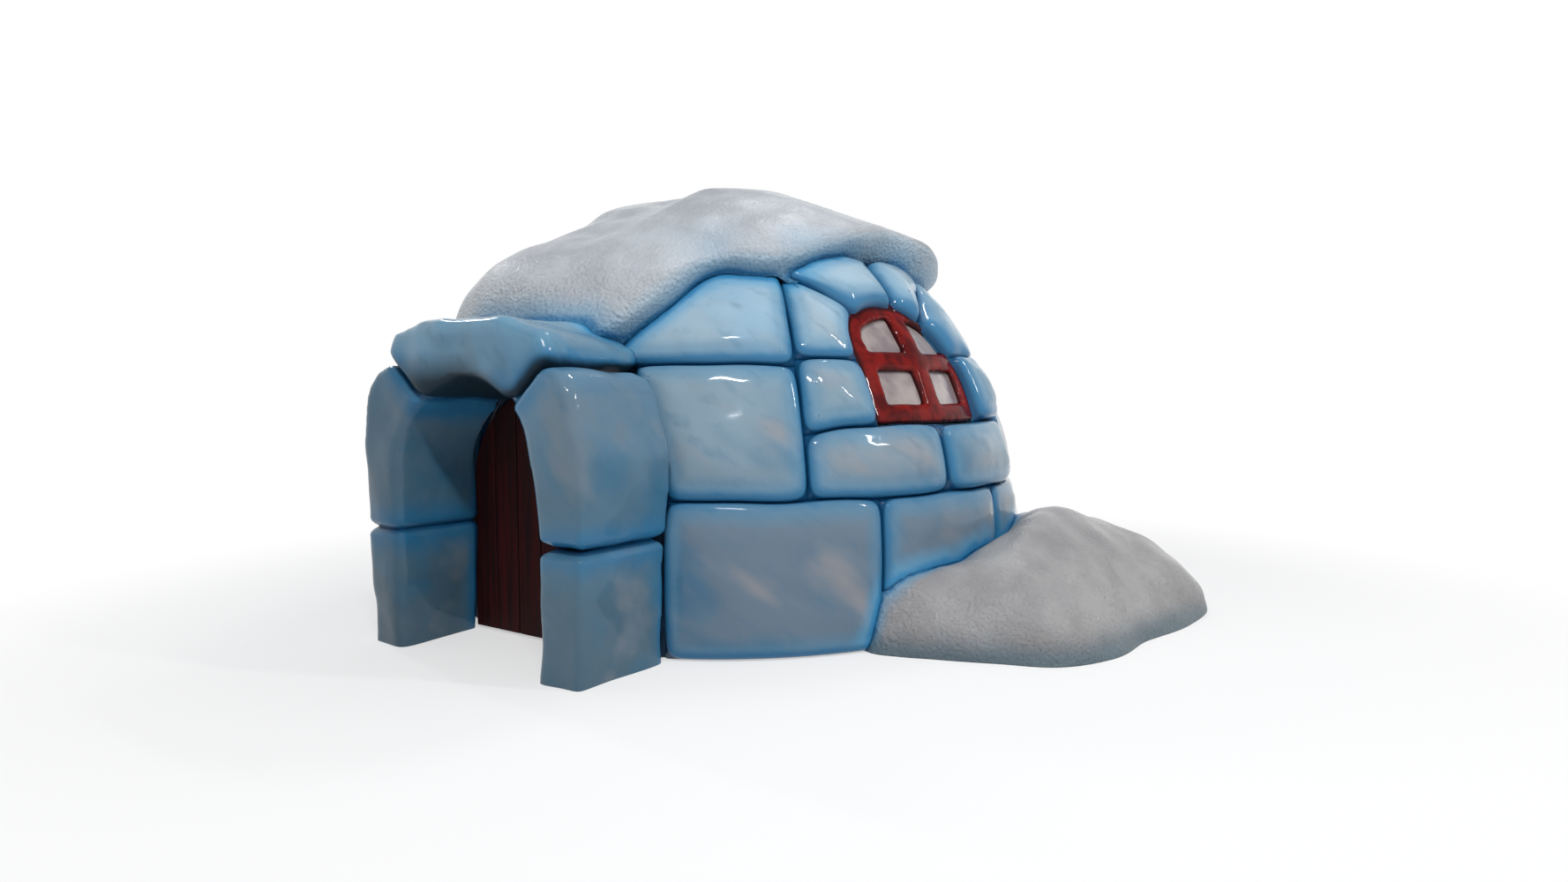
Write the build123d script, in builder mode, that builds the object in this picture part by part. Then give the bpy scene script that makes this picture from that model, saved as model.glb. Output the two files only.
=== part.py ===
"""Walk-in display igloo: a dome of large rounded blocks with a porch, an arched
plank door, one curved window, a cap of snow and a snow drift at its side.

Millimetres, +Z up, all pieces in one frame.  The pieces are laid out about the
dome's axis, with the porch towards -Y and the window towards +X, and then moved
together so that the origin is at the centre of the whole footprint, on the ground.
An azimuth is counted in degrees from -Y towards +X.
"""
from build123d import *
from math import cos, radians, sin, sqrt
import os

os.makedirs("parts", exist_ok=True)

# ---- dome -------------------------------------------------------------------
DOME_RADIUS = 1500            # outside, up to where the wall begins to lean in
DOME_HEIGHT = 2040            # outside, under the snow
UPRIGHT_HEIGHT = 375          # the foot of the wall is upright to here
WALL = 170                    # carved wall, inside to outside

# ---- courses ----------------------------------------------------------------
BASE_TOP = 635                # joint between the base and middle courses
SILL_TOP = 940                # the window stands on this joint
MIDDLE_TOP = 1200             # joint between the middle and upper courses
JAMB_TOP = 1224               # and between the two stones on the door side of the window
CROWN_BASE = 1740             # the crown closes the dome from here
FRONT_EDGE = 26               # azimuth of the joints that flank the porch
BASE_JOINTS = (26, 60.5, 91, 126, 162, 198, 234, 269, 299.5, 334)
MIDDLE_JOINTS = (104, 150, 196, 242, 288, 334)
UPPER_JOINTS = (104, 164.5, 225, 285.5, 346)
UPPER_FRONT = 14              # azimuth of the upper joints over the porch, under the snow
MOUND_STEP = 15               # degrees between the points that shape a mound's section

# ---- window and the stones round it -----------------------------------------
WINDOW_AZIMUTH = 77
WINDOW_HALF = 354             # half the width of the hole in the wall
WINDOW_NEAR_SPRING = 1270     # its arch begins here on the door's side
WINDOW_FAR_SPRING = 1060      # and here on the far side
WINDOW_TOP = 1508
WINDOW_APEX = -66             # the arch's top, towards the door from the middle of the hole
JAMB_AZIMUTH = 47.75          # long joint on the door side of the window
SILL_AZIMUTH = 76             # joint between the two sill blocks
FRAME_SET_BACK = 45           # frame's face behind the face of the wall
FRAME_THICK = 45
FRAME_SIDE = 77               # face width of the frame's two sides, before the shift
FRAME_FOOT = 68               # face height of its bottom rail
FRAME_HEAD = 90               # and of its arched head
GLAZED_SHIFT = 16             # the panes stand this far off the middle of the hole
GLAZED_NEAR_SPRING = 1300     # the panes' arch begins here on the door's side
GLAZED_FAR_SPRING = 1200      # and here on the far side
MULLION_SHIFT = 21            # the upright bar off the middle of the hole
MULLION_HALF = 48             # half the width of the upright bar
BAR_HALF = 37                 # and of the level bar
BAR_HEIGHT = 1206             # middle of the level bar
PANE_SET_BACK = 20            # panes behind the face of the frame
PANE_THICK = 6
FAN_CENTRE = 1270             # joints of the arch stones fan out from here
FAN_ANGLES = (145, 84, 42.5, -2)
HOOD_PROUD = 30               # arch stones stand out from the wall

# ---- porch ------------------------------------------------------------------
PORCH_REACH = 307             # front of the porch beyond the dome
PASSAGE_HALF = 436            # half the clear width between the piers
MOUTH_SPRING, MOUTH_TOP = 700, 1143     # the passage's arch at its mouth
BACK_SPRING, BACK_TOP = 642, 1078       # and at the door
PORCH_JOINT = 1               # glue joint between the porch and the dome
# outer side of a pier: how far beyond the passage, and at what height
PIER_FOOT = (194, 0)
PIER_WAIST = (222, 500)       # here the two blocks of a pier meet
PIER_BULGE = (234, 830)
PIER_SHOULDER = (164, 1065)
PIER_TOP_OUTER = (119, 1120)
# lintel, counted the same way: its foot hangs inside the passage's line
LINTEL_FOOT = (-101, 1058)
LINTEL_TIP = (61, 1191)
LINTEL_CORNER = (14, 1290)
LINTEL_TOP = (-174, 1345)
LINTEL_LIP = 40               # the tip stands out past the pier below it

# ---- door -------------------------------------------------------------------
DOOR_SET_BACK = 75            # leaf's outer face behind the dome's radius
LEAF_THICK = 40
LEAF_LAP = 8                  # the leaf shuts behind the porch by this much
DOOR_GAP = 8                  # round the leaf
STOP_GAP = 6                  # between the leaf and the back of the porch
GROUND_GAP = 12
LEDGE_THICK, LEDGE_HEIGHT = 24, 90
LEDGE_HEIGHTS = (170, 650)
LEDGE_INSET = 60              # from the leaf's edges
HINGE_HEIGHTS = (300, 520)
PIN_RADIUS = 5
PIN_PLAY = 0.05
KNUCKLE_RADIUS = 10
KNUCKLE_LENGTH = 36
KNUCKLE_GAP = 1
STRAP_THICK, STRAP_LENGTH = 5, 300
PLATE_DEPTH = 70              # of a bracket's plate, along the doorway's side

# ---- snow -------------------------------------------------------------------
SNOW_THICK = 158              # over the crown
SNOW_EDGE = 1567              # lower edge round the dome
SNOW_ARCH_HALF = 540          # it lifts over the window in a low arch
SNOW_ARCH_TOP = 1730
SNOW_ARCH_AZIMUTH = 78
TONGUE_GROWTH = 150           # the thick part over the porch is a ball this much larger
TONGUE_SHIFT = (-180, -255)   # than the dome, off its axis
TONGUE_FLOOR = 1240
TONGUE_RIGHT = 300            # its sides widen upwards from here
TONGUE_LEFT = -560
TONGUE_FLARE = 0.645
# each lobe of the drift: centre beyond the wall, centre along the wall, radius, height
DRIFT_LOBES = ((30, -30, 750, 410), (225, 620, 600, 330))
FAR = 4000                    # longer than anything here


def wall_plane(azimuth):
    """Upright plane through the dome's axis: x is the radius, y the height."""
    outward = Vector(sin(radians(azimuth)), -cos(radians(azimuth)), 0)
    return Plane((0, 0, 0), x_dir=outward, z_dir=outward.cross(Vector(0, 0, 1)))


def facing_plane(azimuth):
    """Upright plane on the axis that faces outwards: x runs round the wall, y is the height."""
    outward = Vector(sin(radians(azimuth)), -cos(radians(azimuth)), 0)
    return Plane((0, 0, 0), x_dir=Vector(0, 0, 1).cross(outward), z_dir=outward)


def mound_half(radius, foot, top):
    """Half section of a mound: x is the radius, upright to foot, then round to the top."""
    angles = [radians(turn) for turn in range(0, 91, MOUND_STEP)]
    rise = top - foot
    with BuildSketch() as face:
        with BuildLine():
            if foot > 0:
                Line((radius, 0), (radius, foot))
            Polyline((radius, 0), (0, 0), (0, top))
            Spline(*[(radius * cos(a), foot + rise * sin(a)) for a in angles], tangents=[(0, 1), (-1, 0)])
        make_face()
    return face.sketch


def dome_half(offset):
    """Half section of the dome, grown by offset."""
    return mound_half(DOME_RADIUS + offset, UPRIGHT_HEIGHT, DOME_HEIGHT + offset)


def shell_face(azimuth, low, high, outer=0, inner=-WALL):
    """Section of the wall between two heights and between two offsets from its outside."""
    with BuildSketch() as face:
        add(dome_half(outer))
        add(dome_half(inner), mode=Mode.SUBTRACT)
        with Locations((FAR / 2, (low + high) / 2)):
            Rectangle(FAR, high - low, mode=Mode.INTERSECT)
    return wall_plane(azimuth) * face.sketch


def wedge_face(start, end):
    """Wedge of the window's facing plane, from the centre of the fan of joints."""
    corners = [(0, FAN_CENTRE)]
    for share in (0, 0.5, 1):
        angle = radians(start + share * (end - start))
        corners.append((FAR * cos(angle), FAN_CENTRE + FAR * sin(angle)))
    with BuildSketch(facing_plane(WINDOW_AZIMUTH)) as face:
        with BuildLine():
            Polyline(*corners, close=True)
        make_face()
    return face.sketch


def arch_face(plane, half, low, spring, top):
    """Upright opening with a half-elliptical head."""
    with BuildSketch(plane) as face:
        with BuildLine():
            Polyline((-half, spring), (-half, low), (half, low), (half, spring))
            EllipticalCenterArc((0, spring), half, top - spring, arc_size=180)
        make_face()
    return face.sketch


def window_arch_face(half, low, near_spring, far_spring, top, middle, apex):
    """Upright opening at the window, with an arch that is fuller on the door's side."""
    start, end = middle - half, middle + half
    with BuildSketch(facing_plane(WINDOW_AZIMUTH)) as face:
        with BuildLine():
            Polyline((start, near_spring), (start, low), (end, low), (end, far_spring))
            EllipticalCenterArc((apex, far_spring), end - apex, top - far_spring, arc_size=90)
            EllipticalCenterArc(
                (apex, near_spring), apex - start, top - near_spring, start_angle=90, arc_size=90
            )
        make_face()
    return face.sketch


def save(builder, name):
    """Label a finished piece and keep it for export."""
    builder.part.label = name
    pieces[name] = builder.part


pieces = {}

# ---- shared cutters ---------------------------------------------------------
with BuildPart() as dome_solid:
    revolve(wall_plane(0) * dome_half(0), axis=Axis.Z)
with BuildPart() as dome_clear:
    revolve(wall_plane(0) * dome_half(PORCH_JOINT), axis=Axis.Z)

PORCH_FRONT = -(DOME_RADIUS + PORCH_REACH)
LEAF_FRONT = -(DOME_RADIUS - DOOR_SET_BACK)
LEAF_BACK = LEAF_FRONT + LEAF_THICK
RECESS_FRONT = LEAF_FRONT - STOP_GAP
LEAF_HALF = PASSAGE_HALF + LEAF_LAP
LEAF_TOP = BACK_TOP + LEAF_LAP
DOORWAY_HALF = LEAF_HALF + DOOR_GAP
DOORWAY_TOP = LEAF_TOP + DOOR_GAP

# square doorway: right through the dome's wall, but only up to the back of the porch
with BuildSketch(Plane.XZ.offset(-RECESS_FRONT)) as doorway_face:
    Rectangle(2 * DOORWAY_HALF, DOORWAY_TOP, align=(Align.CENTER, Align.MIN))
with BuildPart() as recess:
    extrude(doorway_face.sketch, amount=-DOME_RADIUS / 2)
with BuildPart() as doorway:
    extrude(doorway_face.sketch, amount=DOME_RADIUS / 2, both=True)

# arched passage through the porch, a little wider at its mouth
with BuildPart() as passage:
    loft(
        [
            arch_face(Plane.XZ.offset(-PORCH_FRONT), PASSAGE_HALF, 0, MOUTH_SPRING, MOUTH_TOP),
            arch_face(Plane.XZ.offset(-RECESS_FRONT), PASSAGE_HALF, 0, BACK_SPRING, BACK_TOP),
        ],
        ruled=True,
    )

window_face = window_arch_face(
    WINDOW_HALF, SILL_TOP, WINDOW_NEAR_SPRING, WINDOW_FAR_SPRING, WINDOW_TOP, 0, WINDOW_APEX
)
with BuildPart() as window_hole:
    extrude(window_face, amount=FAR)


# ---- dome blocks ------------------------------------------------------------
def plain_block(name, start, end, low, high):
    """One block of a course, between two upright joints."""
    with BuildPart() as block:
        revolve(shell_face(start, low, high), axis=Axis.Z, revolution_arc=end - start)
    save(block, name)


for number, (start, end) in enumerate(zip(BASE_JOINTS, BASE_JOINTS[1:]), 1):
    plain_block(f"base_block_{number}", start, end, 0, BASE_TOP)

plain_block("middle_block_1", FRONT_EDGE, JAMB_AZIMUTH, BASE_TOP, MIDDLE_TOP)
for number, (start, end) in enumerate(zip(MIDDLE_JOINTS, MIDDLE_JOINTS[1:]), 2):
    plain_block(f"middle_block_{number}", start, end, BASE_TOP, MIDDLE_TOP)

plain_block("upper_block_1", UPPER_FRONT, JAMB_AZIMUTH, MIDDLE_TOP, CROWN_BASE)
for number, (start, end) in enumerate(zip(UPPER_JOINTS, UPPER_JOINTS[1:]), 2):
    plain_block(f"upper_block_{number}", start, end, MIDDLE_TOP, CROWN_BASE)

with BuildPart() as crown:
    revolve(shell_face(0, CROWN_BASE, FAR), axis=Axis.Z)
save(crown, "crown")

# ---- wall round the doorway -------------------------------------------------
for side, start in (("right", 0), ("left", -FRONT_EDGE)):
    with BuildPart() as front_wall:
        revolve(shell_face(start, 0, DOORWAY_TOP), axis=Axis.Z, revolution_arc=FRONT_EDGE)
        add(doorway.part, mode=Mode.SUBTRACT)
    save(front_wall, f"front_wall_{side}")

plain_block("door_head", -FRONT_EDGE, FRONT_EDGE, DOORWAY_TOP, MIDDLE_TOP)
plain_block("over_door_block", -UPPER_FRONT, UPPER_FRONT, MIDDLE_TOP, CROWN_BASE)

# ---- stones round the window ------------------------------------------------
BELOW, REAR, TOP, FRONT = -90, FAN_ANGLES[3], FAN_ANGLES[2], FAN_ANGLES[1]
HAUNCH, ABOVE = FAN_ANGLES[0], 235
LEFT, RIGHT = JAMB_AZIMUTH, MIDDLE_JOINTS[0]
# azimuths from and to, heights from and to, wedge of the fan or None, how far it stands out
WINDOW_BLOCKS = {
    "sill_block_1": (LEFT, SILL_AZIMUTH, BASE_TOP, SILL_TOP, None, 0),
    "sill_block_2": (SILL_AZIMUTH, RIGHT, BASE_TOP, SILL_TOP, None, 0),
    "jamb_stone_front": (LEFT, WINDOW_AZIMUTH, SILL_TOP, JAMB_TOP, None, 0),
    "jamb_stone_rear": (WINDOW_AZIMUTH, RIGHT, SILL_TOP, CROWN_BASE, (BELOW, REAR), 0),
    "haunch_stone": (LEFT, WINDOW_AZIMUTH, JAMB_TOP, CROWN_BASE, (HAUNCH, ABOVE), 0),
    "arch_stone_front": (LEFT, RIGHT, JAMB_TOP, CROWN_BASE, (FRONT, HAUNCH), HOOD_PROUD),
    "arch_stone_top": (LEFT, RIGHT, JAMB_TOP, CROWN_BASE, (TOP, FRONT), HOOD_PROUD),
    "arch_stone_rear": (LEFT, RIGHT, SILL_TOP, CROWN_BASE, (REAR, TOP), HOOD_PROUD),
}
for name, (start, end, low, high, fan, proud) in WINDOW_BLOCKS.items():
    with BuildPart() as stone:
        revolve(shell_face(start, low, high, outer=proud), axis=Axis.Z, revolution_arc=end - start)
        if fan:
            extrude(wedge_face(*fan), amount=FAR, mode=Mode.INTERSECT)
        add(window_hole.part, mode=Mode.SUBTRACT)
    save(stone, name)

# ---- window -----------------------------------------------------------------
glazed_face = window_arch_face(
    WINDOW_HALF - FRAME_SIDE,
    SILL_TOP + FRAME_FOOT,
    GLAZED_NEAR_SPRING,
    GLAZED_FAR_SPRING,
    WINDOW_TOP - FRAME_HEAD,
    GLAZED_SHIFT,
    GLAZED_SHIFT,
)
with BuildPart() as glazing:
    extrude(glazed_face, amount=FAR)
    with BuildSketch(facing_plane(WINDOW_AZIMUTH)):
        with Locations((MULLION_SHIFT, BAR_HEIGHT)):
            Rectangle(2 * MULLION_HALF, FAR)
            Rectangle(FAR, 2 * BAR_HALF)
    extrude(amount=FAR, mode=Mode.SUBTRACT)

with BuildPart() as window_frame:
    revolve(
        shell_face(JAMB_AZIMUTH, 0, FAR, outer=-FRAME_SET_BACK, inner=-FRAME_SET_BACK - FRAME_THICK),
        axis=Axis.Z,
        revolution_arc=MIDDLE_JOINTS[0] - JAMB_AZIMUTH,
    )
    add(window_hole.part, mode=Mode.INTERSECT)
    add(glazing.part, mode=Mode.SUBTRACT)
save(window_frame, "window_frame")

PANE_FACE = -FRAME_SET_BACK - PANE_SET_BACK
with BuildPart() as window_panes:
    revolve(
        shell_face(JAMB_AZIMUTH, 0, FAR, outer=PANE_FACE, inner=PANE_FACE - PANE_THICK),
        axis=Axis.Z,
        revolution_arc=MIDDLE_JOINTS[0] - JAMB_AZIMUTH,
    )
    add(glazing.part, mode=Mode.INTERSECT)
save(window_panes, "window_panes")


# ---- porch ------------------------------------------------------------------
def porch_block(name, outline):
    """A porch block: its front outline run back to the dome, less the passage and doorway."""
    with BuildPart() as block:
        with BuildSketch(Plane.XZ.offset(-PORCH_FRONT)):
            with BuildLine():
                Polyline(*outline, close=True)
            make_face()
        extrude(amount=PORCH_FRONT)
        for cutter in (passage, recess, dome_clear):
            add(cutter.part, mode=Mode.SUBTRACT)
    save(block, name)


def outline(sign, *points):
    """Points counted from the passage's side, turned into points of the porch's front."""
    return [(sign * (PASSAGE_HALF + out), height) for out, height in points]


# lintel and pier meet on the line from the lintel's foot to its tip
joint_slope = (LINTEL_TIP[1] - LINTEL_FOOT[1]) / (LINTEL_TIP[0] - LINTEL_FOOT[0])
PIER_TOP_INNER = (LINTEL_TIP[0] - LINTEL_LIP, LINTEL_TIP[1] - LINTEL_LIP * joint_slope)

for side, sign in (("right", 1), ("left", -1)):
    lower = outline(sign, PIER_FOOT, PIER_WAIST)
    porch_block(f"pier_lower_{side}", [(0, 0), *lower, (0, PIER_WAIST[1])])
    upper = outline(
        sign, PIER_WAIST, PIER_BULGE, PIER_SHOULDER, PIER_TOP_OUTER, PIER_TOP_INNER, LINTEL_FOOT
    )
    porch_block(f"pier_upper_{side}", [(0, PIER_WAIST[1]), *upper, (0, LINTEL_FOOT[1])])

half_lintel = (LINTEL_FOOT, LINTEL_TIP, LINTEL_CORNER, LINTEL_TOP)
porch_block("porch_lintel", outline(1, *half_lintel) + outline(-1, *reversed(half_lintel)))

# ---- snow -------------------------------------------------------------------
with BuildPart() as tongue:
    with Locations((*TONGUE_SHIFT, UPRIGHT_HEIGHT)):
        Sphere(DOME_RADIUS + TONGUE_GROWTH)
    rise = DOME_HEIGHT + SNOW_THICK - TONGUE_FLOOR
    with BuildSketch(Plane.XZ):
        with BuildLine():
            Polyline(
                (TONGUE_LEFT, TONGUE_FLOOR),
                (TONGUE_RIGHT, TONGUE_FLOOR),
                (TONGUE_RIGHT + TONGUE_FLARE * rise, TONGUE_FLOOR + rise),
                (TONGUE_LEFT - TONGUE_FLARE * rise, TONGUE_FLOOR + rise),
                close=True,
            )
        make_face()
    extrude(amount=FAR, mode=Mode.INTERSECT)

with BuildPart() as snow_cap:
    revolve(wall_plane(0) * dome_half(SNOW_THICK), axis=Axis.Z)
    with BuildSketch(Plane.XY):
        Rectangle(FAR, FAR)
    extrude(amount=SNOW_EDGE, mode=Mode.SUBTRACT)
    extrude(
        arch_face(facing_plane(SNOW_ARCH_AZIMUTH), SNOW_ARCH_HALF, 0, SNOW_EDGE, SNOW_ARCH_TOP),
        amount=FAR,
        mode=Mode.SUBTRACT,
    )
    add(tongue.part)
    add(dome_solid.part, mode=Mode.SUBTRACT)
    for name in ("porch_lintel", "arch_stone_front", "arch_stone_top", "arch_stone_rear"):
        add(pieces[name], mode=Mode.SUBTRACT)
save(snow_cap, "snow_cap")

with BuildPart() as snow_drift:
    for beyond, along, radius, height in DRIFT_LOBES:
        centre = (DOME_RADIUS + beyond, along, 0)
        lobe_plane = Plane(centre, x_dir=(1, 0, 0), z_dir=(0, -1, 0))
        revolve(lobe_plane * mound_half(radius, 0, height), axis=Axis(centre, (0, 0, 1)))
    add(dome_solid.part, mode=Mode.SUBTRACT)
save(snow_drift, "snow_drift")

# ---- door -------------------------------------------------------------------
with BuildPart() as door_leaf:
    leaf_plane = Plane.XZ.offset(-LEAF_FRONT)
    extrude(arch_face(leaf_plane, LEAF_HALF, GROUND_GAP, BACK_SPRING, LEAF_TOP), amount=-LEAF_THICK)
save(door_leaf, "door_leaf")

# the hinges stand inside, on the leaf's left edge; the pin is just behind the leaf
PIN_X = -LEAF_HALF + KNUCKLE_RADIUS
PIN_Y = LEAF_BACK + KNUCKLE_RADIUS + STRAP_THICK / 2
LEDGE_HALF = LEAF_HALF - LEDGE_INSET

with BuildPart() as door_ledges:
    for height in LEDGE_HEIGHTS:
        with BuildSketch(Plane.XZ.offset(-LEAF_BACK)):
            with Locations((0, height)):
                Rectangle(2 * LEDGE_HALF, LEDGE_HEIGHT)
        extrude(amount=-LEDGE_THICK)
save(door_ledges, "door_ledges")

with BuildPart() as door_straps:
    for height in HINGE_HEIGHTS:
        with BuildSketch(Plane.XY.offset(height - KNUCKLE_LENGTH / 2)):
            with Locations((PIN_X, PIN_Y)):
                Circle(KNUCKLE_RADIUS)
            with Locations((PIN_X, LEAF_BACK)):
                Rectangle(STRAP_LENGTH, STRAP_THICK, align=(Align.MIN, Align.MIN))
                Rectangle(KNUCKLE_RADIUS, PIN_Y - LEAF_BACK, align=(Align.MIN, Align.MIN))
            with Locations((PIN_X, PIN_Y)):
                Circle(PIN_RADIUS + PIN_PLAY, mode=Mode.SUBTRACT)
        extrude(amount=KNUCKLE_LENGTH)
save(door_straps, "door_straps")

# each bracket is a plate on the doorway's side with a knuckle over and under the strap's
with BuildPart() as hinge_brackets:
    for height in HINGE_HEIGHTS:
        reach = KNUCKLE_LENGTH / 2 + KNUCKLE_GAP
        for low in (height + reach, height - reach - KNUCKLE_LENGTH):
            with BuildSketch(Plane.XY.offset(low)):
                with Locations((PIN_X, PIN_Y)):
                    Circle(KNUCKLE_RADIUS)
                with Locations((-DOORWAY_HALF, PIN_Y)):
                    Rectangle(PIN_X + DOORWAY_HALF, KNUCKLE_RADIUS, align=(Align.MIN, Align.MIN))
            extrude(amount=KNUCKLE_LENGTH)
        with BuildSketch(Plane.XY.offset(height - reach - KNUCKLE_LENGTH)):
            with Locations((PIN_X, PIN_Y)):
                Circle(PIN_RADIUS)
        extrude(amount=2 * (reach + KNUCKLE_LENGTH))
        with BuildSketch(Plane.XY.offset(height - reach - KNUCKLE_LENGTH)):
            with Locations((-DOORWAY_HALF, PIN_Y)):
                Rectangle(STRAP_THICK, PLATE_DEPTH, align=(Align.MIN, Align.MIN))
        extrude(amount=2 * (reach + KNUCKLE_LENGTH))
save(hinge_brackets, "hinge_brackets")

# ---- export about the centre of the whole footprint --------------------------
boxes = [piece.bounding_box() for piece in pieces.values()]
middle_x = (min(box.min.X for box in boxes) + max(box.max.X for box in boxes)) / 2
middle_y = (min(box.min.Y for box in boxes) + max(box.max.Y for box in boxes)) / 2
for name, piece in pieces.items():
    export_step(piece.moved(Location((-middle_x, -middle_y, 0))), f"parts/{name}.step")
print(f"dome axis at {-middle_x:.3f}, {-middle_y:.3f}; pin at {PIN_X - middle_x:.3f}, {PIN_Y - middle_y:.3f}")
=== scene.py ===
from math import cos, pi, radians, sin

import bmesh
import bpy
import numpy as np
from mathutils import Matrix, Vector, geometry, noise
from mathutils.bvhtree import BVHTree


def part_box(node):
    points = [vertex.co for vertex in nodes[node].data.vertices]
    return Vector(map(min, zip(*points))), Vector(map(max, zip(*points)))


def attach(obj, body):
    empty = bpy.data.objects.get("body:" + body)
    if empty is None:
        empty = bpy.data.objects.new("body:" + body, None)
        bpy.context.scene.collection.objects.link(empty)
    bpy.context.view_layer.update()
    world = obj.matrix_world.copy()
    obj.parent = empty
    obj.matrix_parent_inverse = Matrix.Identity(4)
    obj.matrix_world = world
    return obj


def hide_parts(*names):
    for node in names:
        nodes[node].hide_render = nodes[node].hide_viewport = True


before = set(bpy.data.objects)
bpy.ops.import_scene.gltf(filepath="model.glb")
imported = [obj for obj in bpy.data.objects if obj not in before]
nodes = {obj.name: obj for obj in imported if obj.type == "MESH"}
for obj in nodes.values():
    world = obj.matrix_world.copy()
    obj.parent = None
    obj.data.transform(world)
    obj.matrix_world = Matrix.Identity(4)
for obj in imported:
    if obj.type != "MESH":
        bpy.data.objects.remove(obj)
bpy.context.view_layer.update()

# ---------------------------------------------------------------- studio
# A pale floor, a pale surround that dims overhead, and soft lamps. The
# camera stands off the porch's right corner at a person's chest height.
low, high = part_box("crown")
AXIS = Vector(((low.x + high.x) / 2, (low.y + high.y) / 2, 0))
CAMERA_FROM_AXIS = Vector((2.984, -3.955, 1.0455))
CAMERA_LENS = 20.234
LOOK_DOWN = 0.0482
LOOK_TILT = 0.0052
LOOK_LEFT = 0.5956
FLOOR_HALF = 40
# the floor fades to plain white between these distances from its middle
FADE_START = 2.2
FADE_END = 4.4



def place_object(name, data):
    """A new object in the scene, of a mesh, a lamp or a camera."""
    made = bpy.data.objects.new(name, data)
    bpy.context.scene.collection.objects.link(made)
    return made


lens = bpy.data.cameras.new("camera")
lens.sensor_width = 36
lens.lens = CAMERA_LENS
camera = place_object("camera", lens)
camera.location = AXIS + CAMERA_FROM_AXIS
camera.rotation_euler = (pi / 2 - LOOK_DOWN, LOOK_TILT, LOOK_LEFT)
bpy.context.scene.camera = camera
bpy.context.scene.view_settings.view_transform = "Standard"


def plug(node, **inputs):
    """Links or sets a node's sockets. A socket is named, or _0, _1 and so on by its place."""
    for name, value in inputs.items():
        socket = node.inputs[int(name[1:]) if name[0] == "_" else name.replace("_", " ")]
        if isinstance(value, Paint):
            value.tree.links.new(value.socket, socket)
        else:
            socket.default_value = value


class Paint:
    """A socket of a material's node tree, so that sums on it add Math nodes."""

    def __init__(self, tree, socket):
        self.tree = tree
        self.socket = socket

    def node(self, kind, settings=None, output=0, **inputs):
        """A new node of a kind: its settings come first, then its sockets; gives one output."""
        made = self.tree.nodes.new("ShaderNode" + kind)
        for setting, value in (settings or {}).items():
            if setting == "stops":
                ramp = made.color_ramp
                for place, colour in value[2:]:
                    ramp.elements.new(place)
                for element, (place, colour) in zip(ramp.elements, value):
                    element.position = place
                    element.color = colour
            else:
                setattr(made, setting, value)
        plug(made, **inputs)
        return Paint(self.tree, made.outputs[output])

    def math(self, operation, *values):
        """A Math node's result."""
        sockets = {"_%d" % place: value for place, value in enumerate(values)}
        return self.node("Math", {"operation": operation}, **sockets)

    def __add__(self, other): return self.math("ADD", self, other)
    def __radd__(self, other): return self.math("ADD", other, self)
    def __sub__(self, other): return self.math("SUBTRACT", self, other)
    def __rsub__(self, other): return self.math("SUBTRACT", other, self)
    def __mul__(self, other): return self.math("MULTIPLY", self, other)

    def ramp(self, start, end):
        """0 at start to 1 at end, smoothly, either way round."""
        return self.node("MapRange", {"interpolation_type": "SMOOTHSTEP"},
                         Value=self, From_Min=start, From_Max=end)


def material(name):
    """A new material, its main shader, and a Paint to build on."""
    made = bpy.data.materials.new(name)
    made.use_nodes = True
    shader = made.node_tree.nodes["Principled BSDF"]
    return made, shader, Paint(made.node_tree, None)


def seen_rays(paint):
    """1 for rays from the camera, and for those that gloss and glass send on."""
    camera_ray, glossy_ray, clear_ray = [paint.node("LightPath", output=place) for place in (0, 3, 6)]
    return paint.math("MAXIMUM", paint.math("MAXIMUM", camera_ray, glossy_ray), clear_ray)


floor_finish, shader, paint = material("studio floor")
plug(shader, Base_Color=(0.86, 0.86, 0.86, 1), Roughness=0.9, Specular_IOR_Level=0)
seen = seen_rays(paint)
far = paint.node("VectorMath", {"operation": "LENGTH"}, output=1, _0=paint.node("TexCoord", output=3))
white = paint.node("Emission", Color=(1, 1, 1, 1), Strength=1.0)
share = seen * (0.5 + far.ramp(FADE_START, FADE_END) * 0.5)
faded = paint.node("MixShader", Fac=share, _1=Paint(paint.tree, shader.outputs[0]), _2=white)
plug(paint.tree.nodes["Material Output"], Surface=faded)
floor_mesh = bpy.data.meshes.new("floor")
corners = [(x * FLOOR_HALF, y * FLOOR_HALF, 0) for x, y in ((-1, -1), (1, -1), (1, 1), (-1, 1))]
floor_mesh.from_pydata(corners, [], [(0, 1, 2, 3)])
floor_mesh.materials.append(floor_finish)
floor = place_object("floor", floor_mesh)

world = bpy.data.worlds.new("surround")
bpy.context.scene.world = world
world.use_nodes = True
sky = Paint(world.node_tree, None)
upward = sky.node("SeparateXYZ", output=2, Vector=sky.node("TexCoord"))
# what the eye and the gloss see, white low down, and what lights the igloo
BACKDROP = [(0.42, (1, 1, 1, 1)), (0.56, (0.25, 0.26, 0.28, 1))]
GLOW = [(0.0, (0.34, 0.34, 0.34, 1)), (0.9, (0.55, 0.56, 0.58, 1))]
shade = sky.node("ValToRGB", {"stops": BACKDROP}, Fac=upward)
glow = sky.node("ValToRGB", {"stops": GLOW}, Fac=upward)
both = sky.node("Mix", {"data_type": "RGBA"}, output=2, Factor=seen_rays(sky), _6=glow, _7=shade)
plug(world.node_tree.nodes["Background"], Color=both)


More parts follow.
